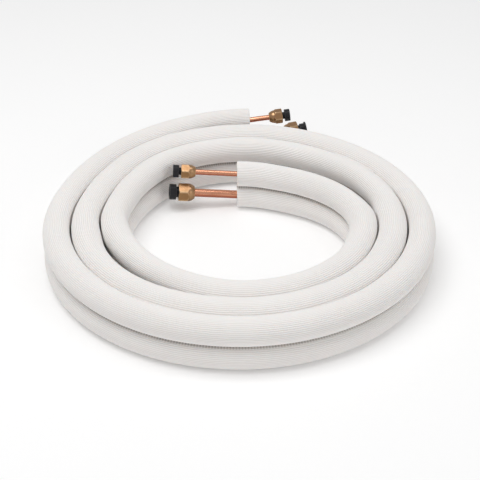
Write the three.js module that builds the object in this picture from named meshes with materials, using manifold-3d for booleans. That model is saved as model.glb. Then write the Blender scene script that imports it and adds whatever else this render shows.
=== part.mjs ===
// Twin refrigerant line set for a mini split: a liquid line lying on a suction line, both
// insulated, wound into a three-turn coil, with a flare nut and a plug on each bare copper end.
// Millimetres, +Z up, with the origin at the middle of the floor that the whole set covers.
import * as THREE from 'three';
import { mergeVertices } from 'three/addons/utils/BufferGeometryUtils.js';
import Module from 'manifold-3d';

const wasm = await Module();
wasm.setup();

// Insulation
const suctionInsulationDiameter = 29;
const liquidInsulationDiameter = suctionInsulationDiameter; // both lines have the same foam tube
const seamFlat = 0.8; // each foam tube is pressed flat by this much where the pair is bonded
const floorFlat = 0.4; // and the lower one by this much where it lies on the floor
const seatGap = 0.3; // between pieces that touch

// Copper tubes
const liquidTubeDiameter = 6.35;
const suctionTubeDiameter = 9.52;
const tubeWall = 0.8;
const liquidFlareDiameter = 9.1;
const suctionFlareDiameter = 13;

// Bare copper between the insulation and the back of each nut
const liquidOuterBareLength = 25;
const suctionOuterBareLength = 44;
const liquidInnerBareLength = 48;
const suctionInnerBareLength = 50;

// How far each bare end is bent off the line of its coil, in degrees
const liquidOuterLift = 6;
const suctionOuterLift = 7.5;
const liquidInnerLift = 4;
const suctionInnerLift = 6;
const suctionOuterSwing = 4;
const suctionInnerSwing = 4;

// Flare nuts
const liquidNutAcrossFlats = 15.9;
const suctionNutAcrossFlats = 20.6;
const liquidNutLength = 16.6;
const suctionNutLength = 18.8;
const nutShoulderLength = 6.6; // the cone behind the hexagon
const liquidNutBackDiameter = 10.4;
const suctionNutBackDiameter = 13.8;
const nutSeatDepth = 6.4; // from the back of the nut to where its flare seat begins
const threadClearance = 0.3; // round the flare and round the plug's shank
const nutChamfer = 0.7;

// Plugs
const plugNeckLength = 2.6; // shows between the nut and the head
const liquidPlugHeadDiameter = 15;
const suctionPlugHeadDiameter = 18.5;
const liquidPlugHeadLength = 7;
const suctionPlugHeadLength = 8;
const plugHeadChamfer = 0.6;

// The coil: radii are of the line's centre, angles are degrees round +Z from the back, +Y
const coilRadius = 198.6;
const outerTurnGap = 1.1; // between the foam of the outer and the middle turn
const innerTurnGap = 5.2; // between the foam of the middle and the inner turn
const middleTurnTuck = 5; // the middle turn draws in by this much before it steps inside
const innerTurnBow = 4.8; // the inner turn leans in on the left and out on the right
const outerEndOffset = 39.9; // the outer end stands this far outside the outer turn
const innerTipInset = 2; // the inner plugs' tips lie this far inside the inner turn's centre circle
const turnContactGap = 2; // least gap between the foam of two turns
const outerEndAngle = -2.9;
const innerEndAngle = 1081.5;

// Facets
const coilSteps = 90;
const foamArcSteps = 7;
const tubeSides = 8;
const boreSides = 6;
const turnedSides = 16;

const toRadians = THREE.MathUtils.degToRad;
const up = new THREE.Vector3(0, 0, 1);
const flareSlope = 1; // a 45 degree flare widens as fast as it goes on
const fullTurn = 360;

// Where along each turn the line steps in, leaves its neighbour or leans, in degrees
const outerRunIn = [-35, 80];
const firstStep = [-15, 90];
const middleTuck = [-70, -25];
const secondStep = [-8, 108];
const bowSpan = [90, 250];
const innerRunOut = [262, 342];

const foamDiameter = Math.max(liquidInsulationDiameter, suctionInsulationDiameter);
const firstPitch = foamDiameter + outerTurnGap;
const secondPitch = foamDiameter + innerTurnGap;

// The inner ends cross the eye, so they leave the inner turn far enough inside for their whole reach
const innerTurnRadius = coilRadius - firstPitch - secondPitch;
const innerTipReach = Math.max(
  liquidInnerBareLength + liquidNutLength + plugNeckLength + liquidPlugHeadLength,
  suctionInnerBareLength + suctionNutLength + plugNeckLength + suctionPlugHeadLength,
);
const innerEndOffset = innerTurnRadius - Math.sqrt((innerTurnRadius - innerTipInset) ** 2 - innerTipReach ** 2);

function ease(angle, [from, to]) {
  return THREE.MathUtils.smoothstep(angle, from, to);
}

// Radius of the line's centre after so many degrees of winding inwards from the back
function windingRadius(angle) {
  const outerOffset = outerEndOffset / (1 - ease(0, outerRunIn));
  const secondTurn = angle - fullTurn;
  const thirdTurn = angle - 2 * fullTurn;
  let radius = coilRadius + outerOffset * (1 - ease(angle, outerRunIn));
  radius -= firstPitch * ease(secondTurn, firstStep);
  radius -= middleTurnTuck * ease(thirdTurn, middleTuck);
  radius -= (secondPitch - middleTurnTuck) * ease(thirdTurn, secondStep);
  radius -= innerEndOffset * ease(thirdTurn, innerRunOut);
  const [bowStart, bowEnd] = bowSpan;
  if (thirdTurn > bowStart && thirdTurn < bowEnd) {
    radius -= innerTurnBow * Math.sin((2 * Math.PI * (thirdTurn - bowStart)) / (bowEnd - bowStart));
  }
  if (secondTurn < outerEndAngle) return radius;
  // A turn lies inside the one wound before it
  return Math.min(radius, windingRadius(secondTurn) - foamDiameter - turnContactGap);
}

function coilPoint(angle, height) {
  const around = toRadians(angle + 90);
  const radius = windingRadius(angle);
  return new THREE.Vector3(radius * Math.cos(around), radius * Math.sin(around), height);
}

// Unit direction in which the line leaves the coil at one of its ends
function leavingDirection(angle, sense) {
  const little = 0.05;
  const back = coilPoint(angle - sense * little, 0);
  return coilPoint(angle, 0).sub(back).normalize();
}

// The coil at one height, with the bare ends as further stations before and after it
class LinePath extends THREE.Curve {
  constructor(height, before = [], after = []) {
    super();
    this.height = height;
    this.before = before;
    this.after = after;
    this.stepCount = before.length + coilSteps + after.length;
  }

  station(index) {
    const coilIndex = index - this.before.length;
    if (coilIndex < 0) return this.before[index];
    if (coilIndex > coilSteps) return this.after[coilIndex - coilSteps - 1];
    const angle = THREE.MathUtils.lerp(outerEndAngle, innerEndAngle, coilIndex / coilSteps);
    return coilPoint(angle, this.height);
  }

  getPoint(t, target = new THREE.Vector3()) {
    const place = t * this.stepCount;
    const index = Math.min(Math.floor(place), this.stepCount - 1);
    return target.lerpVectors(this.station(index), this.station(index + 1), place - index);
  }

  // A section at a station halves the bend there, and the ends of the foam stay square to it
  getTangent(t, target = new THREE.Vector3()) {
    const index = Math.round(t * this.stepCount);
    if (index === 0 && !this.before.length) {
      return target.copy(leavingDirection(outerEndAngle, -1)).negate();
    }
    if (index === this.stepCount && !this.after.length) {
      return target.copy(leavingDirection(innerEndAngle, 1));
    }
    const here = this.station(index);
    target.set(0, 0, 0);
    if (index > 0) target.add(here.clone().sub(this.station(index - 1)).normalize());
    if (index < this.stepCount) target.add(this.station(index + 1).clone().sub(here).normalize());
    return target.normalize();
  }

  // Stations stay at equal angles, so the facets of neighbouring turns lie side by side
  getUtoTmapping(u) {
    return u;
  }
}

// A circle pressed flat below and above, as points in the section's plane: x down, y left
function flattenedCircle(radius, flatBelow, flatAbove) {
  const below = Math.acos((radius - flatBelow) / radius);
  const above = Math.acos((radius - flatAbove) / radius);
  const points = [];
  for (const side of [1, -1]) {
    for (let i = 0; i <= foamArcSteps; i++) {
      const share = side > 0 ? i / foamArcSteps : 1 - i / foamArcSteps;
      const angle = THREE.MathUtils.lerp(below, Math.PI - above, share);
      points.push(new THREE.Vector2(radius * Math.cos(angle), side * radius * Math.sin(angle)));
    }
  }
  return points.filter((point, i) => point.distanceTo(points.at(i - 1)) > 1e-6);
}

function polygon(radius, sides, turn = 0) {
  const points = [];
  for (let i = 0; i < sides; i++) {
    const angle = turn + (2 * Math.PI * i) / sides;
    points.push(new THREE.Vector2(radius * Math.cos(angle), radius * Math.sin(angle)));
  }
  return points;
}

function sweep(outline, bore, path) {
  const shape = new THREE.Shape(outline);
  shape.holes.push(new THREE.Path(bore));
  return new THREE.ExtrudeGeometry(shape, { steps: path.stepCount, extrudePath: path });
}

// Circle drawn as a polygon whose flats, not its corners, clear the given radius
function roundClearing(radius, sides) {
  return radius / Math.cos(Math.PI / sides);
}

function foamGeometry(radius, flatBelow, flatAbove, tubeRadius, height) {
  const boreRadius = roundClearing(tubeRadius * Math.cos(Math.PI / tubeSides) + seatGap, tubeSides);
  const outline = flattenedCircle(radius, flatBelow, flatAbove);
  return sweep(outline, polygon(boreRadius, tubeSides), new LinePath(height));
}

// Opens one end of a swept tube into its flare by moving the corners of its last section
function openFlare(geometry, end, direction, line) {
  const position = geometry.getAttribute('position');
  const middleOfWall = line.tubeRadius - tubeWall / 2;
  const corner = new THREE.Vector3();
  for (let i = 0; i < position.count; i++) {
    corner.fromBufferAttribute(position, i).sub(end);
    if (Math.abs(corner.dot(direction)) > 0.01 || corner.length() > 2 * line.tubeRadius) continue;
    const outside = corner.length() > middleOfWall * Math.cos(Math.PI / boreSides);
    const radius = outside ? line.flareRadius : line.flareRadius - tubeWall * Math.SQRT2;
    corner.setLength(radius).add(end);
    position.setXYZ(i, corner.x, corner.y, corner.z);
  }
}

function tubeGeometry(line) {
  const { outer, inner } = line.ends;
  const path = new LinePath(line.height, [outer.flareTip, outer.flareRoot], [inner.flareRoot, inner.flareTip]);
  const bore = polygon(line.tubeRadius - tubeWall, boreSides);
  const geometry = sweep(polygon(line.tubeRadius, tubeSides), bore, path);
  openFlare(geometry, outer.flareTip, outer.direction, line);
  openFlare(geometry, inner.flareTip, inner.direction, line);
  return geometry;
}

function toManifold(geometry) {
  const bare = geometry.clone();
  bare.deleteAttribute('normal');
  bare.deleteAttribute('uv');
  const merged = mergeVertices(bare, 1e-4);
  const vertProperties = new Float32Array(merged.getAttribute('position').array);
  const triVerts = new Uint32Array(merged.getIndex().array);
  return new wasm.Manifold(new wasm.Mesh({ numProp: 3, vertProperties, triVerts }));
}

function toGeometry(solid) {
  const mesh = solid.getMesh();
  const geometry = new THREE.BufferGeometry();
  geometry.setAttribute('position', new THREE.BufferAttribute(mesh.vertProperties, 3));
  geometry.setIndex(new THREE.BufferAttribute(mesh.triVerts, 1));
  const faceted = geometry.toNonIndexed();
  faceted.computeVertexNormals();
  return faceted;
}

// Turned solid about +Y from points of radius and place, both ends on the axis
function turned(profile, sides = turnedSides) {
  return new THREE.LatheGeometry(profile.map(([radius, place]) => new THREE.Vector2(radius, place)), sides);
}

// Flare nut along +Y from its back: a hexagon with a cone behind it, bored, seated and threaded
function nutGeometry(line) {
  const cornerRadius = line.nutAcrossFlats / Math.sqrt(3);
  const flatRadius = line.nutAcrossFlats / 2;
  const hexagon = new THREE.ExtrudeGeometry(new THREE.Shape(polygon(cornerRadius, 6)), {
    depth: line.nutLength,
    bevelEnabled: false,
  });
  hexagon.rotateX(-Math.PI / 2);
  const skin = turned([
    [0, 0],
    [line.nutBackDiameter / 2, 0],
    [roundClearing(flatRadius, turnedSides), nutShoulderLength],
    [roundClearing(cornerRadius, turnedSides), nutShoulderLength + cornerRadius - flatRadius],
    [roundClearing(cornerRadius, turnedSides), line.nutLength - nutChamfer],
    [flatRadius, line.nutLength],
    [0, line.nutLength],
  ]);
  const past = 1;
  const hole = turned([
    [0, -past],
    [line.nutBoreRadius, -past],
    [line.nutBoreRadius, nutSeatDepth],
    [line.threadRadius, nutSeatDepth + (line.threadRadius - line.nutBoreRadius) / flareSlope],
    [line.threadRadius, line.nutLength + past],
    [0, line.nutLength + past],
  ]);
  return toGeometry(toManifold(hexagon).intersect(toManifold(skin)).subtract(toManifold(hole)));
}

// Plug along +Y from the nut's back: a shank in the nut's thread, a neck and a head
function plugGeometry(line) {
  const headStart = line.nutLength + plugNeckLength;
  const headEnd = headStart + line.plugHeadLength;
  const headRadius = line.plugHeadDiameter / 2;
  return turned([
    [0, line.plugStart],
    [line.plugShankRadius, line.plugStart],
    [line.plugShankRadius, headStart],
    [headRadius - plugHeadChamfer, headStart],
    [headRadius, headStart + plugHeadChamfer],
    [headRadius, headEnd - plugHeadChamfer],
    [headRadius - plugHeadChamfer, headEnd],
    [0, headEnd],
  ]);
}

// Where a bare end starts, points to, carries its nut and opens into its flare
function bareEnd(line, angle, sense, bareLength, lift, swing) {
  const start = coilPoint(angle, line.height);
  const direction = leavingDirection(angle, sense);
  direction.applyAxisAngle(up, toRadians(swing));
  const across = new THREE.Vector3().crossVectors(direction, up).normalize();
  direction.applyAxisAngle(across, toRadians(lift));
  const along = (distance) => start.clone().addScaledVector(direction, distance);
  const nutBack = along(bareLength);
  const flareRoot = along(bareLength + line.flareStart);
  const flareTip = along(bareLength + line.flareStart + line.flareLength);
  return { direction, nutBack, flareRoot, flareTip };
}

// Sizes that follow from the driving ones, for one of the two lines
function makeLine(sizes, height) {
  const line = { ...sizes, height };
  line.tubeRadius = sizes.tubeDiameter / 2;
  line.flareRadius = sizes.flareDiameter / 2;
  line.flareLength = (line.flareRadius - line.tubeRadius) / flareSlope;
  line.nutBoreRadius = roundClearing(line.tubeRadius + seatGap, turnedSides);
  line.threadRadius = roundClearing(line.flareRadius + threadClearance, turnedSides);
  // The flare stops a seat gap short of the nut's 45 degree seat
  line.flareStart = nutSeatDepth + seatGap * Math.SQRT2 - (line.nutBoreRadius - line.tubeRadius);
  line.plugStart = line.flareStart + line.flareLength + seatGap;
  line.plugShankRadius = line.flareRadius;
  line.ends = {
    outer: bareEnd(line, outerEndAngle, -1, sizes.outerBareLength, sizes.outerLift, sizes.outerSwing),
    inner: bareEnd(line, innerEndAngle, 1, sizes.innerBareLength, sizes.innerLift, sizes.innerSwing),
  };
  return line;
}

const suctionHeight = suctionInsulationDiameter / 2 - floorFlat;
const seamHeight = suctionHeight + suctionInsulationDiameter / 2 - seamFlat + seatGap / 2;
const liquidHeight = seamHeight + seatGap / 2 + liquidInsulationDiameter / 2 - seamFlat;

const liquidLine = makeLine(
  {
    tubeDiameter: liquidTubeDiameter,
    flareDiameter: liquidFlareDiameter,
    outerBareLength: liquidOuterBareLength,
    innerBareLength: liquidInnerBareLength,
    outerLift: liquidOuterLift,
    innerLift: liquidInnerLift,
    outerSwing: 0,
    innerSwing: 0,
    nutAcrossFlats: liquidNutAcrossFlats,
    nutLength: liquidNutLength,
    nutBackDiameter: liquidNutBackDiameter,
    plugHeadDiameter: liquidPlugHeadDiameter,
    plugHeadLength: liquidPlugHeadLength,
  },
  liquidHeight,
);

const suctionLine = makeLine(
  {
    tubeDiameter: suctionTubeDiameter,
    flareDiameter: suctionFlareDiameter,
    outerBareLength: suctionOuterBareLength,
    innerBareLength: suctionInnerBareLength,
    outerLift: suctionOuterLift,
    innerLift: suctionInnerLift,
    outerSwing: suctionOuterSwing,
    innerSwing: suctionInnerSwing,
    nutAcrossFlats: suctionNutAcrossFlats,
    nutLength: suctionNutLength,
    nutBackDiameter: suctionNutBackDiameter,
    plugHeadDiameter: suctionPlugHeadDiameter,
    plugHeadLength: suctionPlugHeadLength,
  },
  suctionHeight,
);

const finishes = {
  foam: { color: 0xe9e6e1, roughness: 0.85, metalness: 0 },
  copper: { color: 0xd98a62, roughness: 0.3, metalness: 1 },
  brass: { color: 0xb08a4e, roughness: 0.35, metalness: 1 },
  plug: { color: 0x1d1d1f, roughness: 0.5, metalness: 0 },
};

const lineSet = new THREE.Group();

function addMesh(name, geometry, finish, parent = lineSet) {
  const mesh = new THREE.Mesh(geometry, new THREE.MeshStandardMaterial(finishes[finish]));
  mesh.name = name;
  parent.add(mesh);
}

function addFittings(lineName, line) {
  for (const [endName, end] of Object.entries(line.ends)) {
    const fitting = new THREE.Group();
    fitting.position.copy(end.nutBack);
    fitting.quaternion.setFromUnitVectors(new THREE.Vector3(0, 1, 0), end.direction);
    addMesh(`${lineName}_${endName}_flare_nut`, nutGeometry(line), 'brass', fitting);
    addMesh(`${lineName}_${endName}_plug`, plugGeometry(line), 'plug', fitting);
    lineSet.add(fitting);
  }
}

addMesh(
  'liquid_insulation',
  foamGeometry(liquidInsulationDiameter / 2, seamFlat, 0, liquidLine.tubeRadius, liquidHeight),
  'foam',
);
addMesh(
  'suction_insulation',
  foamGeometry(suctionInsulationDiameter / 2, floorFlat, seamFlat, suctionLine.tubeRadius, suctionHeight),
  'foam',
);
addMesh('liquid_copper_tube', tubeGeometry(liquidLine), 'copper');
addMesh('suction_copper_tube', tubeGeometry(suctionLine), 'copper');
addFittings('liquid', liquidLine);
addFittings('suction', suctionLine);

const covered = new THREE.Box3().setFromObject(lineSet, true).getCenter(new THREE.Vector3());
lineSet.position.set(-covered.x, -covered.y, 0);

export default lineSet;
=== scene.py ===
import math

import bmesh
import bpy
from mathutils import Matrix, Quaternion, Vector, noise


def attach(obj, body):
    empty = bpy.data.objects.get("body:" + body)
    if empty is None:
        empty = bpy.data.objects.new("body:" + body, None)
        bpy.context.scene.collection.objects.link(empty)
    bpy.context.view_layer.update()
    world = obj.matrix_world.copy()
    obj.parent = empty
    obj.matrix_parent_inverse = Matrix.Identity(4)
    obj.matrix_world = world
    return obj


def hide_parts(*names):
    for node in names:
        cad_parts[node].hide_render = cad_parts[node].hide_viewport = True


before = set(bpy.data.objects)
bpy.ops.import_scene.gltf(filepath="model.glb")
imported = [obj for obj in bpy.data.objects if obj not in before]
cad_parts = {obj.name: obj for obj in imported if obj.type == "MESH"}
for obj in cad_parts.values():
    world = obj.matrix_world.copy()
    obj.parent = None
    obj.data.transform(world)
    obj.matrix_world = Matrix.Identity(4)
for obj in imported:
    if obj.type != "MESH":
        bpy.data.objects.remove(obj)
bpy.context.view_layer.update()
print("frame loaded:", len(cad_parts), "nodes")

mm = 0.001
noLimit = 1000  # millimetres, past which nothing here reaches
scene = bpy.context.scene
upAxis = Vector((0, 0, 1))

# The winding, the same values as the solids have, in millimetres and degrees
coil = {
    "centre": (0.092, -23.787),
    "radius": 198.6,
    "outerTurnGap": 1.1,
    "innerTurnGap": 5.2,
    "middleTurnTuck": 5,
    "innerTurnBow": 4.8,
    "outerEndOffset": 39.9,
    "innerTipInset": 2,
    "contactGap": 2,
    "startAngle": -2.9,
    "endAngle": 1081.5,
    "outerRunIn": (-35, 80),
    "firstStep": (-15, 90),
    "middleTuck": (-70, -25),
    "secondStep": (-8, 108),
    "bowSpan": (90, 250),
    "innerRunOut": (262, 342),
}

foam = {
    "diameter": 29,
    "seamFlat": 0.8,
    "floorFlat": 0.4,
    "seatGap": 0.3,
    "ribCount": 46,
    "ribDepth": 0.42,
    "stationLength": 4.9,
    "stitchPitch": 2.1,
    # the pitch of the painted shade dots along the seam
    "seamDotPitch": 2.85,
    "endRounding": 0.8,
    "endRings": ((0, 1), (0.15, 0.6), (0.5, 0.28), (1.1, 0.06), (2.2, 0)),  # place, share of the rounding
    "boreSides": 24,
    "waver": 0.12,  # how far the skin wanders in and out over its length
    "waverPace": 3.1,
    "narrowest": 0.97,  # of a round turn's half width
    "widest": 1.13,
    "letsGo": (1.1, 1.33),  # half the spacing, in foam radii, over which a turn leaves the next one
    "press": 1.08,  # how much of that width its neighbour presses flat
    "creaseGap": 0.3,
    "freeGap": 2.4,  # the gap that stays open at the left and right of the coil
    "freeSpan": 0.42,  # how far round from there it stays open
}

lines = {
    "liquid": {
        "tubeDiameter": 6.35,
        "flareDiameter": 9.1,
        "nutAcrossFlats": 15.9,
        "nutLength": 16.6,
        "nutBackDiameter": 10.4,
        "threadPitch": 1.27,
        "headDiameter": 15,
        "headLength": 7,
        "ends": {
            "outer": {"bare": 25, "lift": 6, "swing": 0, "nutTurn": 0},
            "inner": {"bare": 48, "lift": 4, "swing": 0, "nutTurn": 30},
        },
    },
    "suction": {
        "tubeDiameter": 9.52,
        "flareDiameter": 13,
        "nutAcrossFlats": 20.6,
        "nutLength": 18.8,
        "nutBackDiameter": 13.8,
        "threadPitch": 1.41,
        "headDiameter": 18.5,
        "headLength": 8,
        "ends": {
            "outer": {"bare": 44, "lift": 7.5, "swing": 4, "nutTurn": 0, "headWaist": 0.84},
            "inner": {"bare": 50, "lift": 6, "swing": 4, "nutTurn": 30},
        },
    },
}


def endOffset():  # how far the inner ends leave the inner turn, so that their tips stay inside it
    turnRadius = coil["radius"] - 2 * foam["diameter"] - coil["outerTurnGap"] - coil["innerTurnGap"]
    reach = max(
        line["ends"]["inner"]["bare"] + line["nutLength"] + plug["neck"] + line["headLength"]
        for line in lines.values()
    )
    return turnRadius - math.sqrt((turnRadius - coil["innerTipInset"]) ** 2 - reach**2)


def easeIn(angle, span):
    share = min(max((angle - span[0]) / (span[1] - span[0]), 0), 1)
    return share * share * (3 - 2 * share)


def windingRadius(angle):  # in millimetres, from degrees of winding inwards from the back
    runIn = coil["outerEndOffset"] / (1 - easeIn(0, coil["outerRunIn"]))
    second, third = angle - 360, angle - 720
    radius = coil["radius"] + runIn * (1 - easeIn(angle, coil["outerRunIn"]))
    radius -= (foam["diameter"] + coil["outerTurnGap"]) * easeIn(second, coil["firstStep"])
    radius -= coil["middleTurnTuck"] * easeIn(third, coil["middleTuck"])
    stepIn = foam["diameter"] + coil["innerTurnGap"] - coil["middleTurnTuck"]
    radius -= stepIn * easeIn(third, coil["secondStep"])
    radius -= endOffset() * easeIn(third, coil["innerRunOut"])
    bowStart, bowEnd = coil["bowSpan"]
    if bowStart < third < bowEnd:
        radius -= coil["innerTurnBow"] * math.sin(2 * math.pi * (third - bowStart) / (bowEnd - bowStart))
    if second < coil["startAngle"]:
        return radius
    return min(radius, windingRadius(second) - foam["diameter"] - coil["contactGap"])


def coilPoint(angle, height):  # in metres, in the frame of the solids
    around = math.radians(angle + 90)
    radius = windingRadius(angle)
    x = coil["centre"][0] + radius * math.cos(around)
    y = coil["centre"][1] + radius * math.sin(around)
    return Vector((x, y, height)) * mm


def leavingDirection(angle, sense):
    return (coilPoint(angle, 0) - coilPoint(angle - sense * 0.05, 0)).normalized()


suctionHeight = foam["diameter"] / 2 - foam["floorFlat"]
seamBelow = suctionHeight + foam["diameter"] / 2 - foam["seamFlat"]
seamAbove = seamBelow + foam["seatGap"]
liquidHeight = seamAbove + foam["diameter"] / 2 - foam["seamFlat"]
lines["liquid"]["height"] = liquidHeight
lines["suction"]["height"] = suctionHeight


def bareEnd(line, endName):  # the place and direction of a bare end, and its nut's own frame
    end = line["ends"][endName]
    outer = endName == "outer"
    angle = coil["startAngle"] if outer else coil["endAngle"]
    start = coilPoint(angle, line["height"])
    leaving = leavingDirection(angle, -1 if outer else 1)
    direction = Quaternion(upAxis, math.radians(end["swing"])) @ leaving
    across = direction.cross(upAxis).normalized()
    direction = Quaternion(across, math.radians(end["lift"])) @ direction
    return {
        "start": start,
        "leaving": leaving,
        "direction": direction,
        "nutBack": start + direction * end["bare"] * mm,
        "across": across,
        "bare": end["bare"] * mm,
        "nutTurn": end["nutTurn"],
    }


def fittingMatrix(end):  # local +Y runs out along the bare end, local +X lies level
    yAxis = end["direction"]
    xAxis = -end["across"]
    zAxis = xAxis.cross(yAxis).normalized()
    turned = Matrix((xAxis, yAxis, zAxis)).transposed().to_4x4()
    return Matrix.Translation(end["nutBack"]) @ turned


# Shader effects that several finishes share

def shaderGroup(name, inputs, outputs):
    group = bpy.data.node_groups.new(name, "ShaderNodeTree")
    for socketName, kind, value in inputs:
        socket = group.interface.new_socket(socketName, in_out="INPUT", socket_type=kind)
        socket.default_value = value
    for socketName, kind in outputs:
        group.interface.new_socket(socketName, in_out="OUTPUT", socket_type=kind)
    return group, group.nodes.new("NodeGroupInput"), group.nodes.new("NodeGroupOutput")


def mathNode(tree, operation, first, second=None, third=None):
    node = tree.nodes.new("ShaderNodeMath")
    node.operation = operation
    for place, value in enumerate((first, second, third)):
        if value is None:
            continue
        if isinstance(value, (int, float)):
            node.inputs[place].default_value = value
        else:
            tree.links.new(value, node.inputs[place])
    return node.outputs[0]


def makeMottle():  # slow changes of tone over the surface, within Amount of 1
    group, start, end = shaderGroup(
        "mottle",
        [
            ("Vector", "NodeSocketVector", (0, 0, 0)),
            ("Scale", "NodeSocketFloat", 20),
            ("Amount", "NodeSocketFloat", 0.1),
        ],
        [("Tone", "NodeSocketFloat")],
    )
    clouds = group.nodes.new("ShaderNodeTexNoise")
    clouds.inputs["Detail"].default_value = 4
    clouds.inputs["Roughness"].default_value = 0.6
    group.links.new(start.outputs["Vector"], clouds.inputs["Vector"])
    group.links.new(start.outputs["Scale"], clouds.inputs["Scale"])
    centred = mathNode(group, "SUBTRACT", clouds.outputs[0], 0.5)
    doubled = mathNode(group, "MULTIPLY", centred, 2)
    scaled = mathNode(group, "MULTIPLY", doubled, start.outputs["Amount"])
    group.links.new(mathNode(group, "ADD", scaled, 1), end.inputs["Tone"])
    return group


def makeGrain():  # fine height noise, stretched by Stretch
    group, start, end = shaderGroup(
        "grain",
        [
            ("Vector", "NodeSocketVector", (0, 0, 0)),
            ("Stretch", "NodeSocketVector", (1, 1, 1)),
            ("Scale", "NodeSocketFloat", 900),
            ("Detail", "NodeSocketFloat", 3),
        ],
        [("Height", "NodeSocketFloat")],
    )
    stretched = group.nodes.new("ShaderNodeVectorMath")
    stretched.operation = "MULTIPLY"
    group.links.new(start.outputs["Vector"], stretched.inputs[0])
    group.links.new(start.outputs["Stretch"], stretched.inputs[1])
    speckle = group.nodes.new("ShaderNodeTexNoise")
    group.links.new(start.outputs["Detail"], speckle.inputs["Detail"])
    group.links.new(stretched.outputs[0], speckle.inputs["Vector"])
    group.links.new(start.outputs["Scale"], speckle.inputs["Scale"])
    group.links.new(speckle.outputs[0], end.inputs["Height"])
    return group


def makeEdgeWear():  # 1 on outward edges, broken up by noise
    group, start, end = shaderGroup(
        "edgeWear",
        [
            ("Vector", "NodeSocketVector", (0, 0, 0)),
            ("Reach", "NodeSocketFloat", 0.06),
            ("Scale", "NodeSocketFloat", 400),
        ],
        [("Mask", "NodeSocketFloat")],
    )
    shape = group.nodes.new("ShaderNodeNewGeometry")
    breakUp = group.nodes.new("ShaderNodeTexNoise")
    group.links.new(start.outputs["Vector"], breakUp.inputs["Vector"])
    group.links.new(start.outputs["Scale"], breakUp.inputs["Scale"])
    raised = mathNode(group, "SUBTRACT", shape.outputs["Pointiness"], 0.5)
    share = mathNode(group, "DIVIDE", raised, start.outputs["Reach"])
    broken = mathNode(group, "MULTIPLY", share, mathNode(group, "ADD", breakUp.outputs[0], 0.5))
    clamped = group.nodes.new("ShaderNodeClamp")
    group.links.new(broken, clamped.inputs["Value"])
    group.links.new(clamped.outputs[0], end.inputs["Mask"])
    return group


def makeUndersideShadeMask():  # a mask for painted shade: 1 where a surface faces down, 0 where it faces up
    group, start, end = shaderGroup(
        "undersideShadeMask",
        [("From", "NodeSocketFloat", 0.4), ("To", "NodeSocketFloat", -0.6)],
        [("Mask", "NodeSocketFloat")],
    )
    shape = group.nodes.new("ShaderNodeNewGeometry")
    parts = group.nodes.new("ShaderNodeSeparateXYZ")
    group.links.new(shape.outputs["Normal"], parts.inputs[0])
    ramp = group.nodes.new("ShaderNodeMapRange")
    ramp.interpolation_type = "SMOOTHSTEP"
    group.links.new(parts.outputs["Z"], ramp.inputs["Value"])
    group.links.new(start.outputs["From"], ramp.inputs["From Min"])
    group.links.new(start.outputs["To"], ramp.inputs["From Max"])
    group.links.new(ramp.outputs[0], end.inputs["Mask"])
    return group


mottle = makeMottle()
grain = makeGrain()
edgeWear = makeEdgeWear()
undersideShadeMask = makeUndersideShadeMask()


def startMaterial(name):
    material = bpy.data.materials.new(name)
    material.use_nodes = True
    tree = material.node_tree
    coordinates = tree.nodes.new("ShaderNodeTexCoord").outputs["Object"]
    return material, tree, tree.nodes["Principled BSDF"], coordinates


def placeGroup(tree, group, vector, **values):
    node = tree.nodes.new("ShaderNodeGroup")
    node.node_tree = group
    if vector is not None:
        tree.links.new(vector, node.inputs["Vector"])
    for socketName, value in values.items():
        node.inputs[socketName].default_value = value
    return node.outputs[0]


def colourByTone(tree, colour, tone):  # colour scaled by a tone near 1
    scaled = tree.nodes.new("ShaderNodeVectorMath")
    scaled.operation = "SCALE"
    if isinstance(colour, tuple):
        scaled.inputs[0].default_value = colour
    else:
        tree.links.new(colour, scaled.inputs[0])
    tree.links.new(tone, scaled.inputs["Scale"])
    return scaled.outputs[0]


def mixColours(tree, share, first, second):
    node = tree.nodes.new("ShaderNodeMix")
    node.data_type = "RGBA"
    tree.links.new(share, node.inputs["Factor"])
    for socket, value in ((node.inputs["A"], first), (node.inputs["B"], second)):
        if isinstance(value, tuple):
            socket.default_value = (*value, 1)
        else:
            tree.links.new(value, socket)
    return node.outputs["Result"]


def addBump(tree, shader, height, distance, strength=1.0, below=None):
    bump = tree.nodes.new("ShaderNodeBump")
    bump.inputs["Distance"].default_value = distance
    bump.inputs["Strength"].default_value = strength
    tree.links.new(height, bump.inputs["Height"])
    if below is not None:
        tree.links.new(below, bump.inputs["Normal"])
    tree.links.new(bump.outputs[0], shader.inputs["Normal"])
    return bump.outputs[0]


foamFinish = {
    "skin": (0.93, 0.905, 0.885),
    # painted shade laid in the rib grooves, fuller on the sides than on the lit tops
    "groove": (0.74, 0.705, 0.68),
    # painted shade along the bonded seam, dotted where the embossed ribs end
    "seamShadeDots": (0.5, 0.46, 0.43),
    "seamReach": (0.0021, 0.0006),  # metres above and below the bond over which the painted seam shade reaches
    "roughness": 0.62,
    "specular": 0.3,
    "topGrooveShade": 0.35,  # how much of the painted groove shade shows on the lit tops
    "stitchHeight": 0.00005,
    "grainHeight": 0.00006,
    "scatter": 0.35,
    "scatterDepth": (0.0026, 0.0021, 0.0018),  # metres, for red, green and blue
}


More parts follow.
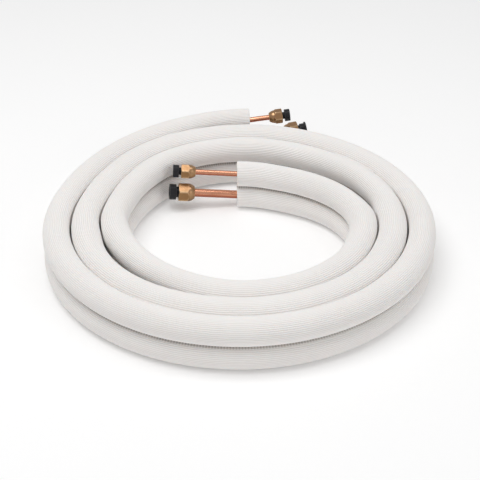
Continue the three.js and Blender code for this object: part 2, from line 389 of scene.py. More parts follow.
def makeFoamMaterial():
    material, tree, shader, coordinates = startMaterial("embossedFoamSkin")
    groove = tree.nodes.new("ShaderNodeAttribute")
    groove.attribute_name = "groove"
    along = tree.nodes.new("ShaderNodeAttribute")
    along.attribute_name = "along"
    tone = placeGroup(tree, mottle, coordinates, Scale=14, Amount=0.035)
    # painted shade in the grooves, weaker on the lit tops than on the sides that face away from the light
    sideways = placeGroup(tree, undersideShadeMask, None, From=0.95, To=0.25)
    depth = mathNode(tree, "MULTIPLY_ADD", sideways, 1 - foamFinish["topGrooveShade"], foamFinish["topGrooveShade"])
    grooveShade = mathNode(tree, "MULTIPLY", groove.outputs["Fac"], depth)
    ribbed = mixColours(tree, grooveShade, foamFinish["skin"], foamFinish["groove"])
    heights = tree.nodes.new("ShaderNodeSeparateXYZ")
    tree.links.new(coordinates, heights.inputs[0])
    # painted shade along the seam, broken into dots along its length
    fromSeam = mathNode(tree, "ABSOLUTE", mathNode(tree, "SUBTRACT", heights.outputs["Z"], seamBelow * mm))
    nearSeam = tree.nodes.new("ShaderNodeMapRange")
    nearSeam.interpolation_type = "SMOOTHSTEP"
    tree.links.new(fromSeam, nearSeam.inputs["Value"])
    nearSeam.inputs["From Min"].default_value = foamFinish["seamReach"][0]
    nearSeam.inputs["From Max"].default_value = foamFinish["seamReach"][1]
    dotsPerMetre = 2 * math.pi / (foam["seamDotPitch"] * mm)
    dotting = mathNode(tree, "SINE", mathNode(tree, "MULTIPLY", along.outputs["Fac"], dotsPerMetre))
    dottedShade = mathNode(tree, "MULTIPLY_ADD", dotting, 0.3, 0.7)
    seamShadeMask = mathNode(tree, "MULTIPLY", nearSeam.outputs[0], dottedShade)
    seamShaded = mixColours(tree, seamShadeMask, ribbed, foamFinish["seamShadeDots"])
    tree.links.new(colourByTone(tree, seamShaded, tone), shader.inputs["Base Color"])
    shader.inputs["Roughness"].default_value = foamFinish["roughness"]
    shader.inputs["Specular IOR Level"].default_value = foamFinish["specular"]
    shader.inputs["Subsurface Weight"].default_value = foamFinish["scatter"]
    shader.inputs["Subsurface Radius"].default_value = foamFinish["scatterDepth"]
    shader.inputs["Subsurface Scale"].default_value = 1
    turnsPerMetre = 2 * math.pi / (foam["stitchPitch"] * mm)
    wave = mathNode(tree, "SINE", mathNode(tree, "MULTIPLY", along.outputs["Fac"], turnsPerMetre))
    sharpened = mathNode(tree, "POWER", mathNode(tree, "ABSOLUTE", wave), 0.6)
    fromBump = addBump(tree, shader, sharpened, foamFinish["stitchHeight"])
    speckle = placeGroup(tree, grain, coordinates, Scale=1600)
    addBump(tree, shader, speckle, foamFinish["grainHeight"], 0.6, fromBump)
    return material


copperFinish = {
    "bright": (0.9, 0.44, 0.28),
    "dull": (0.62, 0.26, 0.15),
    # painted shade for the surfaces that face down
    "paintedShade": (0.38, 0.13, 0.075),
    "roughness": 0.24,
    "drawLineHeight": 0.00001,
}


def makeCopperMaterial():
    material, tree, shader, coordinates = startMaterial("drawnCopper")
    tone = placeGroup(tree, grain, coordinates, Stretch=(0.06, 1, 1), Scale=300, Detail=0.4)
    stain = mathNode(tree, "MULTIPLY", mathNode(tree, "SUBTRACT", tone, 0.45), 3)
    clamped = tree.nodes.new("ShaderNodeClamp")
    tree.links.new(stain, clamped.inputs["Value"])
    streaked = mixColours(tree, clamped.outputs[0], copperFinish["bright"], copperFinish["dull"])
    # painted shade, darker where the tube faces down
    below = placeGroup(tree, undersideShadeMask, None, From=0.45, To=-0.1)
    colour = mixColours(tree, below, streaked, copperFinish["paintedShade"])
    tree.links.new(colour, shader.inputs["Base Color"])
    shader.inputs["Metallic"].default_value = 1
    roughness = mathNode(tree, "MULTIPLY_ADD", clamped.outputs[0], 0.08, copperFinish["roughness"])
    tree.links.new(roughness, shader.inputs["Roughness"])
    drawLines = placeGroup(tree, grain, coordinates, Stretch=(0.01, 1, 1), Scale=900, Detail=0)
    addBump(tree, shader, drawLines, copperFinish["drawLineHeight"], 0.3)
    return material


brassFinish = {
    "bright": (0.5, 0.285, 0.15),
    "dull": (0.3, 0.17, 0.075),
    # painted shade for the surfaces that face down
    "paintedShade": (0.2, 0.11, 0.045),
    "edge": (0.78, 0.55, 0.33),
    "roughness": 0.26,
    "toolMarkHeight": 0.00003,
}


def makeBrassMaterial():
    material, tree, shader, coordinates = startMaterial("machinedBrass")
    tone = placeGroup(tree, mottle, coordinates, Scale=110, Amount=0.6)
    tarnish = mathNode(tree, "MULTIPLY", mathNode(tree, "SUBTRACT", tone, 0.8), 1.1)
    clamped = tree.nodes.new("ShaderNodeClamp")
    tree.links.new(tarnish, clamped.inputs["Value"])
    worn = placeGroup(tree, edgeWear, coordinates, Reach=0.05, Scale=500)
    body = mixColours(tree, clamped.outputs[0], brassFinish["bright"], brassFinish["dull"])
    # painted shade, darker where the nut faces down
    below = placeGroup(tree, undersideShadeMask, None, From=0.6, To=-0.3)
    shaded = mixColours(tree, below, body, brassFinish["paintedShade"])
    tree.links.new(mixColours(tree, worn, shaded, brassFinish["edge"]), shader.inputs["Base Color"])
    shader.inputs["Metallic"].default_value = 1
    roughness = mathNode(tree, "MULTIPLY_ADD", clamped.outputs[0], 0.2, brassFinish["roughness"])
    tree.links.new(roughness, shader.inputs["Roughness"])
    toolMarks = placeGroup(tree, grain, coordinates, Stretch=(1, 0.15, 0.15), Scale=2600)
    addBump(tree, shader, toolMarks, brassFinish["toolMarkHeight"], 0.4)
    return material


plugFinish = {
    "body": (0.012, 0.012, 0.014),
    "edge": (0.06, 0.06, 0.062),
    "roughness": 0.22,
    "specular": 0.2,
    "grainHeight": 0.00004,
}


def makePlugMaterial():
    material, tree, shader, coordinates = startMaterial("mouldedBlackPlastic")
    tone = placeGroup(tree, mottle, coordinates, Scale=200, Amount=0.3)
    worn = placeGroup(tree, edgeWear, coordinates, Reach=0.07, Scale=700)
    body = colourByTone(tree, plugFinish["body"], tone)
    tree.links.new(mixColours(tree, worn, body, plugFinish["edge"]), shader.inputs["Base Color"])
    shader.inputs["Specular IOR Level"].default_value = plugFinish["specular"]
    roughness = mathNode(tree, "MULTIPLY_ADD", tone, 0.1, plugFinish["roughness"])
    tree.links.new(roughness, shader.inputs["Roughness"])
    speckle = placeGroup(tree, grain, coordinates, Scale=3000)
    addBump(tree, shader, speckle, plugFinish["grainHeight"], 0.5)
    return material


foamMaterial = makeFoamMaterial()
copperMaterial = makeCopperMaterial()
brassMaterial = makeBrassMaterial()
plugMaterial = makePlugMaterial()
print("materials made")


# A tube along a path, ribbed or plain, with its bore

def makeTubeTree():
    tree = bpy.data.node_groups.new("tubeAlongPath", "GeometryNodeTree")
    tree.interface.new_socket("Geometry", in_out="INPUT", socket_type="NodeSocketGeometry")
    for name, kind, value in (
        ("Sides", "NodeSocketInt", 32),
        ("Radius", "NodeSocketFloat", 0.005),
        ("Groove Every", "NodeSocketInt", 3),
        ("Groove Depth", "NodeSocketFloat", 0),
        ("Bore Sides", "NodeSocketInt", 24),
        ("Bore Radius", "NodeSocketFloat", 0.004),
        ("Lowest", "NodeSocketFloat", -1),
        ("Highest", "NodeSocketFloat", 1),
    ):
        socket = tree.interface.new_socket(name, in_out="INPUT", socket_type=kind)
        socket.default_value = value
    tree.interface.new_socket("Material", in_out="INPUT", socket_type="NodeSocketMaterial")
    tree.interface.new_socket("Geometry", in_out="OUTPUT", socket_type="NodeSocketGeometry")
    start = tree.nodes.new("NodeGroupInput")
    end = tree.nodes.new("NodeGroupOutput")
    link = tree.links.new

    def node(kind, **settings):
        made = tree.nodes.new(kind)
        for setting, value in settings.items():
            setattr(made, setting, value)
        return made

    def calculate(operation, first, second):
        made = node("ShaderNodeMath", operation=operation)
        for place, value in enumerate((first, second)):
            if isinstance(value, (int, float)):
                made.inputs[place].default_value = value
            else:
                link(value, made.inputs[place])
        return made.outputs[0]

    def readAttribute(name, kind="FLOAT"):
        made = node("GeometryNodeInputNamedAttribute", data_type=kind)
        made.inputs["Name"].default_value = name
        return made.outputs["Attribute"]

    def calculateVector(operation, first, second, output="Vector"):
        made = node("ShaderNodeVectorMath", operation=operation)
        link(first, made.inputs[0])
        link(second, made.inputs["Scale"] if operation == "SCALE" else made.inputs[1])
        return made.outputs[output]

    def choose(condition, otherwise, chosen):
        made = node("GeometryNodeSwitch", input_type="FLOAT")
        link(condition, made.inputs["Switch"])
        link(otherwise, made.inputs["False"])
        link(chosen, made.inputs["True"])
        return made.outputs[0]

    def sweepProfile(path, profile, scale):
        made = node("GeometryNodeCurveToMesh")
        link(path, made.inputs["Curve"])
        link(profile, made.inputs["Profile Curve"])
        link(scale, made.inputs["Scale"])
        return made.outputs[0]

    toCurve = node("GeometryNodeMeshToCurve")
    link(start.outputs["Geometry"], toCurve.inputs[0])
    upright = node("GeometryNodeSetCurveNormal", mode="Z_UP")
    link(toCurve.outputs[0], upright.inputs["Curve"])
    path = upright.outputs[0]

    circle = node("GeometryNodeCurvePrimitiveCircle")
    link(start.outputs["Sides"], circle.inputs["Resolution"])
    circle.inputs["Radius"].default_value = 1
    index = node("GeometryNodeInputIndex")
    place = calculate("MODULO", index.outputs[0], start.outputs["Groove Every"])
    inGroove = calculate("LESS_THAN", place, 0.5)
    drop = calculate("MULTIPLY", inGroove, start.outputs["Groove Depth"])
    profileRadius = calculate("SUBTRACT", start.outputs["Radius"], drop)
    position = node("GeometryNodeInputPosition")
    scaled = node("ShaderNodeVectorMath", operation="SCALE")
    link(position.outputs[0], scaled.inputs[0])
    link(profileRadius, scaled.inputs["Scale"])
    shaped = node("GeometryNodeSetPosition")
    link(circle.outputs[0], shaped.inputs["Geometry"])
    link(scaled.outputs[0], shaped.inputs["Position"])
    marked = node("GeometryNodeStoreNamedAttribute", data_type="FLOAT", domain="POINT")
    marked.inputs["Name"].default_value = "groove"
    link(shaped.outputs[0], marked.inputs["Geometry"])
    link(inGroove, marked.inputs["Value"])
    outer = sweepProfile(path, marked.outputs[0], readAttribute("outerScale"))

    outward = readAttribute("outward", "FLOAT_VECTOR")
    fromAxis = calculateVector("SUBTRACT", position.outputs[0], readAttribute("axis", "FLOAT_VECTOR"))
    sideways = calculateVector("DOT_PRODUCT", fromAxis, outward, "Value")
    onOutside = calculate("GREATER_THAN", sideways, 0.0)
    swell = choose(onOutside, readAttribute("swellIn"), readAttribute("swellOut"))
    room = choose(onOutside, readAttribute("roomIn"), readAttribute("roomOut"))
    widened = calculate("MULTIPLY", calculate("ABSOLUTE", sideways, 0.0), swell)
    swollen = calculate("MINIMUM", widened, room)
    pressedSide = calculate("MULTIPLY", swollen, calculate("SIGN", sideways, 0.0))
    shift = calculateVector("SCALE", outward, calculate("SUBTRACT", pressedSide, sideways))
    squeezed = node("GeometryNodeSetPosition")
    link(outer, squeezed.inputs["Geometry"])
    link(shift, squeezed.inputs["Offset"])

    separated = node("ShaderNodeSeparateXYZ")
    link(position.outputs[0], separated.inputs[0])
    raised = calculate("MAXIMUM", separated.outputs["Z"], start.outputs["Lowest"])
    lowered = calculate("MINIMUM", raised, start.outputs["Highest"])
    combined = node("ShaderNodeCombineXYZ")
    link(separated.outputs["X"], combined.inputs["X"])
    link(separated.outputs["Y"], combined.inputs["Y"])
    link(lowered, combined.inputs["Z"])
    pressed = node("GeometryNodeSetPosition")
    link(squeezed.outputs[0], pressed.inputs["Geometry"])
    link(combined.outputs[0], pressed.inputs["Position"])

    boreCircle = node("GeometryNodeCurvePrimitiveCircle")
    link(start.outputs["Bore Sides"], boreCircle.inputs["Resolution"])
    link(start.outputs["Bore Radius"], boreCircle.inputs["Radius"])
    bore = sweepProfile(path, boreCircle.outputs[0], readAttribute("boreScale"))
    flipped = node("GeometryNodeFlipFaces")
    link(bore, flipped.inputs[0])

    joined = node("GeometryNodeJoinGeometry")
    link(pressed.outputs[0], joined.inputs[0])
    link(flipped.outputs[0], joined.inputs[0])
    realized = node("GeometryNodeRealizeInstances")
    link(joined.outputs[0], realized.inputs[0])
    coloured = node("GeometryNodeSetMaterial")
    link(realized.outputs[0], coloured.inputs["Geometry"])
    link(start.outputs["Material"], coloured.inputs["Material"])
    link(coloured.outputs[0], end.inputs[0])
    return tree


freeSides = {
    "outward": (0, 0, 0),
    "swellIn": 1,
    "swellOut": 1,
    "roomIn": noLimit * mm,
    "roomOut": noLimit * mm,
}


def pathMesh(name, stations):  # stations are (point, scale outside, scale of the bore, room at the sides)
    mesh = bpy.data.meshes.new(name)
    points = [station[0] for station in stations]
    mesh.from_pydata(points, [(i, i + 1) for i in range(len(points) - 1)], [])
    travelled = 0
    for i, (point, outside, inside, sides) in enumerate(stations):
        if i:
            travelled += (point - points[i - 1]).length
        values = {"outerScale": outside, "boreScale": inside, "along": travelled, "axis": point, **sides}
        for attributeName, value in values.items():
            isVector = attributeName in ("axis", "outward")
            kind = "FLOAT_VECTOR" if isVector else "FLOAT"
            attribute = mesh.attributes.get(attributeName)
            attribute = attribute or mesh.attributes.new(attributeName, kind, "POINT")
            if isVector:
                attribute.data[i].vector = value
            else:
                attribute.data[i].value = value
    return mesh


def closeEnds(mesh):  # bridges the outside to the bore at both ends
    shape = bmesh.new()
    shape.from_mesh(mesh)
    rims = []
    unclosed = {edge for edge in shape.edges if edge.is_boundary}
    while unclosed:
        rim, front = [], [unclosed.pop()]
        while front:
            edge = front.pop()
            rim.append(edge)
            for vertex in edge.verts:
                for near in vertex.link_edges:
                    if near in unclosed:
                        unclosed.remove(near)
                        front.append(near)
        middle = sum((v.co for e in rim for v in e.verts), Vector()) / (2 * len(rim))
        rims.append((middle, rim))
    while rims:
        middle, rim = rims.pop()
        partner = min(rims, key=lambda other: (other[0] - middle).length)
        rims.remove(partner)
        bmesh.ops.bridge_loops(shape, edges=rim + partner[1])
    bmesh.ops.recalc_face_normals(shape, faces=shape.faces)
    shape.to_mesh(mesh)
    shape.free()


def addPiece(name, mesh, material, body, node):
    mesh.name = name
    if not mesh.materials:
        mesh.materials.append(material)
    piece = bpy.data.objects.new(name, mesh)
    scene.collection.objects.link(piece)
    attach(piece, body)
    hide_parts(node)
    return piece


tubeTree = makeTubeTree()
sharpAngle = {"tubes": 50, "fittings": 32}  # degrees, past which an edge is shaded sharp


def sweptPiece(name, stations, values, material):
    carrier = bpy.data.objects.new(name + "Path", pathMesh(name + "Path", stations))
    scene.collection.objects.link(carrier)
    modifier = carrier.modifiers.new("tube", "NODES")
    modifier.node_group = tubeTree
    settings = {**values, "Material": material}
    for item in tubeTree.interface.items_tree:
        if item.in_out == "INPUT" and item.name in settings:
            modifier[item.identifier] = settings[item.name]
    evaluated = carrier.evaluated_get(bpy.context.evaluated_depsgraph_get())
    mesh = bpy.data.meshes.new_from_object(evaluated)
    carrier.modifiers.remove(modifier)
    bpy.data.objects.remove(carrier)
    closeEnds(mesh)
    for face in mesh.polygons:
        face.use_smooth = True
    mesh.set_sharp_from_angle(angle=math.radians(sharpAngle["tubes"]))
    return mesh


def squeeze(angle):  # how the turns on both sides of this one shape its foam
    roundRadius = foam["diameter"] / 2
    around = math.radians(angle + 90)
    openness = math.exp(-((math.sin(around) / foam["freeSpan"]) ** 2))  # 1 at the left and right
    sides = {"outward": (math.cos(around), math.sin(around), 0)}
    for side, neighbour in (("In", angle + 360), ("Out", angle - 360)):
        swell, room = 1, noLimit
        if coil["startAngle"] <= neighbour <= coil["endAngle"]:
            spacing = abs(windingRadius(angle) - windingRadius(neighbour))
            gap = foam["creaseGap"] + (foam["freeGap"] - foam["creaseGap"]) * openness
            half = (spacing - gap) / 2
            held = 1 - easeIn(half / roundRadius, foam["letsGo"])
            wide = min(max(half / roundRadius, foam["narrowest"]), foam["widest"])
            swell = 1 + (wide * foam["press"] - 1) * held
            room = half if held > 0 else noLimit
        sides["swell" + side] = swell
        sides["room" + side] = room * mm
    return sides


def foamStations(line):
    startAngle, endAngle = coil["startAngle"], coil["endAngle"]
    sample = 0.25  # degrees
    metresPerDegree = (coilPoint(startAngle + sample, 0) - coilPoint(startAngle, 0)).length / sample
    degreesPerMillimetre = math.degrees(1 / windingRadius(endAngle))
    between = []
    angle = startAngle
    while angle < endAngle:
        between.append(angle)
        angle += math.degrees(foam["stationLength"] / windingRadius(angle))
    setbacks = [setback for setback, share in foam["endRings"][1:]]
    roundedShares = [share for setback, share in foam["endRings"]]
    first = [startAngle + setback * mm / metresPerDegree for setback in setbacks]
    last = [endAngle - setback * degreesPerMillimetre for setback in reversed(setbacks)]
    angles = [startAngle, *first, *between[1:-1], *last, endAngle]
    roundRadius = foam["diameter"] / 2
    stations = []
    for i, angle in enumerate(angles):
        fromEnd = min(i, len(angles) - 1 - i)
        rounded = roundedShares[fromEnd] if fromEnd < len(roundedShares) else 0
        wander = noise.noise(Vector((math.radians(angle) * foam["waverPace"], line["height"], 0)))
        outside = 1 - foam["endRounding"] / roundRadius * rounded + foam["waver"] / roundRadius * wander
        stations.append((coilPoint(angle, line["height"]), outside, 1, squeeze(angle)))
    return stations


def makeFoam(lineName, lowest, highest):
    line = lines[lineName]
    pointsPerRib = 3
    values = {
        "Sides": pointsPerRib * foam["ribCount"],
        "Radius": foam["diameter"] / 2 * mm,
        "Groove Every": pointsPerRib,
        "Groove Depth": foam["ribDepth"] * mm,
        "Bore Sides": foam["boreSides"],
        "Bore Radius": (line["tubeDiameter"] / 2 + foam["seatGap"]) * mm,
        "Lowest": lowest * mm,
        "Highest": highest * mm,
    }
    name = lineName + "FoamTube"
    mesh = sweptPiece(name, foamStations(line), values, foamMaterial)
    piece = addPiece(name, mesh, foamMaterial, "coil", lineName + "_insulation")
    print(name, len(mesh.polygons), "faces")


tube = {
    "wall": 0.8,
    "sides": 32,
    "coilStep": 3,  # degrees of winding from one station to the next
    "bareSteps": 16,
    "bendLength": 12,  # over which a bare end leaves the line of the coil
}


def copperStations(line):
    flareLength = (line["flareDiameter"] - line["tubeDiameter"]) / 2
    boreRadius = line["tubeDiameter"] / 2 - tube["wall"]
    openBore = (line["flareDiameter"] / 2 - tube["wall"] * math.sqrt(2)) / boreRadius
    openTube = line["flareDiameter"] / line["tubeDiameter"]
    flareStart = nut["seatDepth"] + foam["seatGap"] * (math.sqrt(2) - 1)

    def bareStations(end):  # from the flare's tip back to the insulation
        made = [(end["bare"] + (flareStart + flareLength) * mm, openTube, openBore)]
        made.append((end["bare"] + (flareStart + 0.02) * mm, 1, 1))  # a hair off, so that the crease stays
        made += [(end["bare"] * (1 - i / tube["bareSteps"]), 1, 1) for i in range(tube["bareSteps"])]
        stations = []
        for distance, outside, inside in made:
            early = min(distance / (tube["bendLength"] * mm), 1)
            bend = distance * (1 - early) ** 2
            point = end["start"] + end["direction"] * distance + (end["leaving"] - end["direction"]) * bend
            stations.append((point, outside, inside, freeSides))
        return stations

    turn = coil["endAngle"] - coil["startAngle"]
    count = round(turn / tube["coilStep"])
    coilStations = []
    for i in range(count + 1):
        angle = coil["startAngle"] + turn * i / count
        coilStations.append((coilPoint(angle, line["height"]), 1, 1, freeSides))
    return bareStations(bareEnd(line, "outer")) + coilStations + bareStations(bareEnd(line, "inner"))[::-1]


def makeCopper(lineName):
    line = lines[lineName]
    values = {
        "Sides": tube["sides"],
        "Radius": line["tubeDiameter"] / 2 * mm,
        "Groove Every": tube["sides"],
        "Groove Depth": 0.0,
        "Bore Sides": tube["sides"] // 2,
        "Bore Radius": (line["tubeDiameter"] / 2 - tube["wall"]) * mm,
        "Lowest": -noLimit * mm,
        "Highest": noLimit * mm,
    }
    name = lineName + "CopperLine"
    mesh = sweptPiece(name, copperStations(line), values, copperMaterial)
    addPiece(name, mesh, copperMaterial, "coil", lineName + "_copper_tube")
    print(name, len(mesh.polygons), "faces")


# Nuts and plugs are rings of points round the bare end's own axis

def ringMesh(name, rings, sides, closedOnItself):  # a ring is (place along, radius or radius by angle)
    shape = bmesh.new()
    loops = []
    for place, radius in rings:
        if radius == 0:
            loops.append([shape.verts.new((0, place * mm, 0))])
            continue
        loop = []
        for i in range(sides):
            angle = 2 * math.pi * i / sides
            reach = radius(angle) if callable(radius) else radius
            corner = (reach * math.cos(angle) * mm, place * mm, -reach * math.sin(angle) * mm)
            loop.append(shape.verts.new(corner))
        loops.append(loop)
    pairs = list(zip(loops, loops[1:]))
    if closedOnItself:
        pairs.append((loops[-1], loops[0]))
    for lower, upper in pairs:
        for i in range(sides):
            j = (i + 1) % sides
            if len(lower) == 1:
                shape.faces.new((lower[0], upper[j], upper[i]))
            elif len(upper) == 1:
                shape.faces.new((lower[i], lower[j], upper[0]))
            else:
                shape.faces.new((lower[i], lower[j], upper[j], upper[i]))
    bmesh.ops.recalc_face_normals(shape, faces=shape.faces)
    mesh = bpy.data.meshes.new(name)
    shape.to_mesh(mesh)
    shape.free()
    for face in mesh.polygons:
        face.use_smooth = True
    mesh.set_sharp_from_angle(angle=math.radians(sharpAngle["fittings"]))
    return mesh


def hexagonReach(angle, acrossFlats, turned=0.0):
    sector = math.radians(60)
    fromFlat = (angle + math.radians(turned)) % sector - sector / 2
    return acrossFlats / 2 / math.cos(fromFlat)


def softMinimum(first, second, blend):
    gap = max(blend - abs(first - second), 0) / blend
    return min(first, second) - gap * gap * blend / 4


def spread(start, stop, count):
    return [start + (stop - start) * i / count for i in range(count + 1)]


def threadReach(radius, rise, pitch):  # the radius of a helical thread at a place and an angle
    def threaded(place):
        def reach(angle):
            turn = (place / pitch + angle / (2 * math.pi)) % 1
            return radius + rise * abs(2 * turn - 1)
        return reach
    return threaded


ringsPerPitch = 8

nut = {
    "shoulder": 6.6,  # where the round back meets the hexagon
    "backCurve": 0.9,
    "cornerSlope": 1.6,
    "cornerTrim": 0.12,  # what the lathe takes off the corners
    "seatDepth": 6.4,
    "chamfer": 0.7,
    "chamferDrop": 0.25,  # how far below the flats it ends
    "threadGap": 0.35,
    "threadDepth": 0.35,
    "mouthGap": 0.55,
    "sides": 96,
    "edge": 0.25,
}


def makeNut(lineName, endName):
    line = lines[lineName]
    end = bareEnd(line, endName)
    flat = line["nutAcrossFlats"] / 2
    corner = flat / math.cos(math.radians(30))
    back = line["nutBackDiameter"] / 2
    length = line["nutLength"]
    chamferStart = length - nut["chamfer"]
    boreRadius = line["tubeDiameter"] / 2 + foam["seatGap"]
    threadRadius = line["flareDiameter"] / 2 + nut["threadGap"]
    cornerEnd = nut["shoulder"] + (corner - flat) * nut["cornerSlope"]

    def turnedReach(place):  # the shape that a lathe leaves outside the hexagon
        if place < nut["shoulder"]:
            rise = math.sin(place / nut["shoulder"] * math.pi / 2) ** nut["backCurve"]
            return back + (flat - back) * rise
        if place < cornerEnd:
            return flat + (corner - flat) * (place - nut["shoulder"]) / (cornerEnd - nut["shoulder"])
        if place > chamferStart:
            return corner - (corner - flat + nut["chamferDrop"]) * (place - chamferStart) / nut["chamfer"]
        return corner + 0.3

    def outside(place):
        def reach(angle):
            hexagon = hexagonReach(angle, 2 * flat, end["nutTurn"])
            trimmed = softMinimum(hexagon, corner - nut["cornerTrim"], 0.3)
            return softMinimum(trimmed, turnedReach(place), nut["edge"])
        return reach

    places = spread(0, 0.5, 3) + spread(0.9, cornerEnd + 0.3, 26)
    places += spread(cornerEnd + 1.2, chamferStart - 0.25, 5)
    places += spread(chamferStart - 0.1, length, 8)
    rings = [(place, outside(place)) for place in places]
    mouth = threadRadius + nut["mouthGap"]
    rings += [(length, mouth + 0.15), (length - 0.05, mouth), (length - 0.6, threadRadius + 0.1)]
    seatTop = nut["seatDepth"] + threadRadius - boreRadius
    threadStart = length - 0.8
    threaded = threadReach(threadRadius, nut["threadDepth"], line["threadPitch"])
    count = round((threadStart - seatTop) / line["threadPitch"] * ringsPerPitch)
    rings += [(place, threaded(place)) for place in spread(threadStart, seatTop + 0.3, count)]
    rings += [(seatTop, threadRadius), (nut["seatDepth"], boreRadius)]
    rings += [(0.4, boreRadius), (0, boreRadius + 0.35)]
    name = lineName + endName.capitalize() + "Nut"
    mesh = ringMesh(name, rings, nut["sides"], True)
    mesh.transform(fittingMatrix(end))
    body = f"{lineName}_{endName}_nut"
    addPiece(name, mesh, brassMaterial, body, f"{lineName}_{endName}_flare_nut")


plug = {
    "neck": 2.6,
    "chamfer": 0.6,
    "threadDepth": 0.25,
    "rim": 2.4,  # the full width that is left where a head is waisted
    "recess": 0.62,  # of the head's radius
    "dimple": 1.6,
    "headTurn": 12,
    "sides": 72,
}


def makePlug(lineName, endName):
    line = lines[lineName]
    end = bareEnd(line, endName)
    shank = line["flareDiameter"] / 2
    flareTip = nut["seatDepth"] + foam["seatGap"] * math.sqrt(2) + shank - line["tubeDiameter"] / 2
    shankStart = flareTip + foam["seatGap"]
    mouth = line["nutLength"]
    headStart = mouth + plug["neck"]
    headEnd = headStart + line["headLength"]
    headRadius = line["headDiameter"] / 2
    waist = line["ends"][endName].get("headWaist", 1)
    rimStart = headEnd - plug["rim"]

    def headReach(inset, place=headEnd):
        drawnIn = waist + (1 - waist) * easeIn(place, (rimStart - 0.5, rimStart + 0.5))

        def reach(angle):
            hexagon = hexagonReach(angle, 1.93 * headRadius, end["nutTurn"] + plug["headTurn"])
            return softMinimum(hexagon, headRadius, 0.5) * drawnIn - inset
        return reach

    threaded = threadReach(shank, -plug["threadDepth"], line["threadPitch"])
    count = round((mouth - shankStart - 0.6) / line["threadPitch"] * ringsPerPitch)
    neckRadius = shank - plug["threadDepth"]
    bevel = plug["chamfer"]
    rings = [(shankStart, 0), (shankStart, shank * 0.45), (shankStart, shank - 0.6)]
    rings += [(place, threaded(place)) for place in spread(shankStart + 0.4, mouth - 0.2, count)]
    rings += [(mouth + 0.1, neckRadius), (headStart - 0.3, neckRadius), (headStart, shank)]
    rings += [(headStart, headReach(bevel + 0.1, 0)), (headStart + 0.08, headReach(bevel * 0.6, 0))]
    rings += [(headStart + bevel * 0.4, headReach(bevel * 0.2, 0)), (headStart + bevel, headReach(0, 0))]
    sidePlaces = spread(headStart + bevel + 0.4, headEnd - bevel - 0.4, 14)
    rings += [(place, headReach(0, place)) for place in sidePlaces]
    rings += [(headEnd - bevel, headReach(0)), (headEnd - bevel * 0.4, headReach(bevel * 0.2))]
    rings += [(headEnd - 0.08, headReach(bevel * 0.6)), (headEnd, headReach(bevel + 0.1))]
    recess = headRadius * plug["recess"]
    floorPlace = headEnd - plug["dimple"]
    rings += [(headEnd, recess + 0.3), (headEnd - 0.1, recess), (floorPlace, recess - 0.3)]
    rings += [(floorPlace, recess * 0.4), (floorPlace, 0)]
    name = lineName + endName.capitalize() + "Plug"
    mesh = ringMesh(name, rings, plug["sides"], False)
    mesh.transform(fittingMatrix(end))
    body = f"{lineName}_{endName}_end_plug"
    addPiece(name, mesh, plugMaterial, body, f"{lineName}_{endName}_plug")


makeFoam("liquid", seamAbove, noLimit)
makeFoam("suction", 0, seamBelow)
makeCopper("liquid")
makeCopper("suction")
for lineName in lines:
    for endName in ("outer", "inner"):
        makeNut(lineName, endName)
        makePlug(lineName, endName)
print("nuts and plugs made")


# Floor, light and camera

studio = {
    "floorColour": (0.96, 0.96, 0.96),
    "floorSize": 8,
    "floorDrop": 0.0003,  # keeps the paper clear of the foam's flat underside
    # the paper glows as painted light, filling the undersides and lightening its own shadows
    "floorGlow": 0.1,
    "worldStrength": 0.5,
    "keyPower": 11,
    "keySize": 1.3,
    "keyPlace": (-0.5, -0.35, 1.9),
    "stripPower": 5,  # draws the bright line along the copper
    "stripSize": (2.2, 0.4),
    "stripPlace": (0, 0.1, 1.5),
    "fillPower": 3,
    "fillSize": 1.2,
    "fillPlace": (1.5, -1.4, 0.9),
}

photoCamera = {
    "focalLength": 98.3,
    "elevation": 32.92,
    "distance": 1.478,
    "target": (0.0009, 0.00545, 0),
}


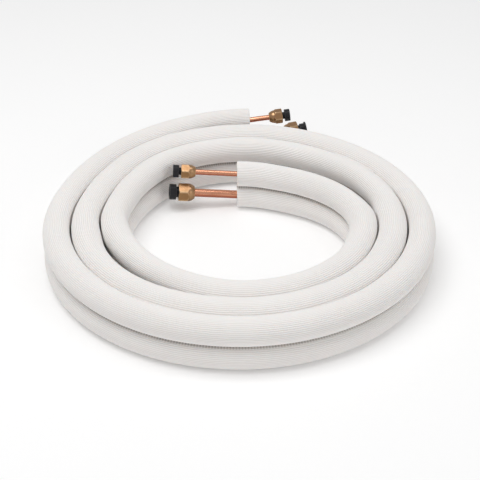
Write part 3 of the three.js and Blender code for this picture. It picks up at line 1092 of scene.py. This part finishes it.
def makeFloor():
    half = studio["floorSize"] / 2
    corners = [(-half, -half), (half, -half), (half, half), (-half, half)]
    mesh = bpy.data.meshes.new("studioFloor")
    mesh.from_pydata([(x, y, -studio["floorDrop"]) for x, y in corners], [], [(0, 1, 2, 3)])
    material, tree, shader, coordinates = startMaterial("palePaper")
    tone = placeGroup(tree, mottle, coordinates, Scale=3, Amount=0.01)
    tree.links.new(colourByTone(tree, studio["floorColour"], tone), shader.inputs["Base Color"])
    shader.inputs["Roughness"].default_value = 0.9
    # painted light: the paper glows a little, as a fill
    shader.inputs["Emission Color"].default_value = (1, 1, 1, 1)
    shader.inputs["Emission Strength"].default_value = studio["floorGlow"]
    mesh.materials.append(material)
    floor = bpy.data.objects.new("studioFloor", mesh)
    scene.collection.objects.link(floor)


def addSoftbox(name, place, power, size, depth=None):
    data = bpy.data.lights.new(name, "AREA")
    data.shape = "RECTANGLE" if depth else "DISK"
    data.size = size
    if depth:
        data.size_y = depth
    data.energy = power
    light = bpy.data.objects.new(name, data)
    light.location = place
    light.rotation_euler = (-Vector(place)).to_track_quat("-Z", "Y").to_euler()
    scene.collection.objects.link(light)


def makeCamera():
    data = bpy.data.cameras.new("photoCamera")
    data.lens = photoCamera["focalLength"]
    data.sensor_width = 36
    camera = bpy.data.objects.new("photoCamera", data)
    elevation = math.radians(photoCamera["elevation"])
    back = Vector((0, -math.cos(elevation), math.sin(elevation)))
    camera.location = Vector(photoCamera["target"]) + back * photoCamera["distance"]
    camera.rotation_euler = (math.radians(90) - elevation, 0, 0)
    scene.collection.objects.link(camera)
    scene.camera = camera


makeFloor()
addSoftbox("keySoftbox", studio["keyPlace"], studio["keyPower"], studio["keySize"])
addSoftbox("fillSoftbox", studio["fillPlace"], studio["fillPower"], studio["fillSize"])
addSoftbox("stripLight", studio["stripPlace"], studio["stripPower"], *studio["stripSize"])
makeCamera()
world = bpy.data.worlds.new("studioWorld")
world.use_nodes = True
world.node_tree.nodes["Background"].inputs["Color"].default_value = (1, 1, 1, 1)
world.node_tree.nodes["Background"].inputs["Strength"].default_value = studio["worldStrength"]
scene.world = world
scene.view_settings.view_transform = "Standard"
print("studio made")
